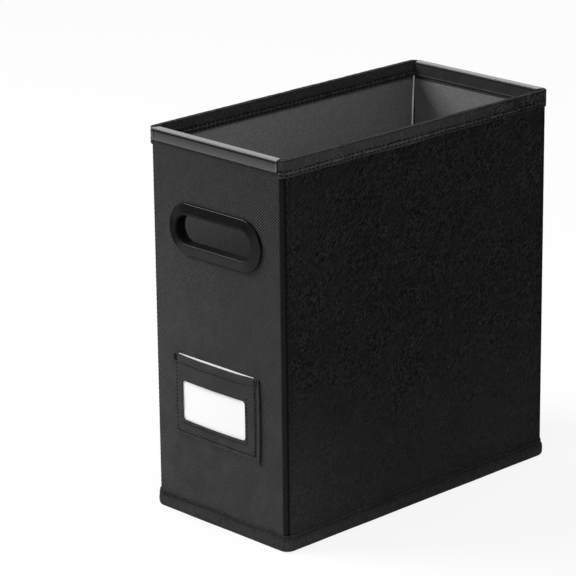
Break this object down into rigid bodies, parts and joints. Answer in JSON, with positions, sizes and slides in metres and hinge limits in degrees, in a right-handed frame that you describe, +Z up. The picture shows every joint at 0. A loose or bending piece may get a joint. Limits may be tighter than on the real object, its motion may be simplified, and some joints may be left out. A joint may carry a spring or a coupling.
{
  "type": "portable file box",
  "caption": "Open-topped fabric file box, tall and narrow, with channel rails for hanging folders, oblong end handles and a label pocket.",
  "frame": {"origin": "centre of the underside of the box", "axes": "+Z up, the short front end with the label pocket towards -Y, the long sides towards -X and +X"},
  "size_m": [0.1636, 0.328, 0.338],
  "materials": {
    "end_fabric": "embossed non-woven",
    "side_fabric": "crinkled non-woven",
    "lining_fabric": "smooth non-woven",
    "binding_fabric": "folded binding",
    "greyboard": "plain",
    "rail_plastic": "satin",
    "handle_plastic": "glossy",
    "clear_film": "clear film",
    "card": "smooth"
  },
  "bodies": {
    "box": {"front_board": "greyboard", "back_board": "greyboard", "left_board": "greyboard", "right_board": "greyboard", "front_cover": "end_fabric", "back_cover": "end_fabric", "left_cover": "side_fabric", "right_cover": "side_fabric", "front_lining": "lining_fabric", "back_lining": "lining_fabric", "left_lining": "lining_fabric", "right_lining": "lining_fabric", "front_left_corner_seam": "binding_fabric", "front_right_corner_seam": "binding_fabric", "back_left_corner_seam": "binding_fabric", "back_right_corner_seam": "binding_fabric", "front_hem": "binding_fabric", "back_hem": "binding_fabric", "left_hem": "binding_fabric", "right_hem": "binding_fabric", "front_handle_bezel": "handle_plastic", "front_handle_ring": "handle_plastic", "back_handle_bezel": "handle_plastic", "back_handle_ring": "handle_plastic", "label_pocket": "end_fabric", "label_film": "clear_film", "base_cloth": "side_fabric", "base_band": "binding_fabric"},
    "front_rail": {"front_rail": "rail_plastic"},
    "back_rail": {"back_rail": "rail_plastic"},
    "label_card": {"label_card": "card"},
    "base_insert": {"base_board": "greyboard", "base_board_cover": "side_fabric"}
  },
  "joints": [
    {"name": "front_rail_lift", "type": "slide", "parent": "box", "child": "front_rail", "axis": [0, 0, 1], "range_m": [0, 0.03]},
    {"name": "back_rail_lift", "type": "slide", "parent": "box", "child": "back_rail", "axis": [0, 0, 1], "range_m": [0, 0.03]},
    {"name": "label_card_draw", "type": "slide", "parent": "box", "child": "label_card", "axis": [0, 0, 1], "range_m": [0, 0.076]},
    {"name": "base_insert_lift", "type": "slide", "parent": "box", "child": "base_insert", "axis": [0, 0, 1], "range_m": [0, 0.36]}
  ]
}
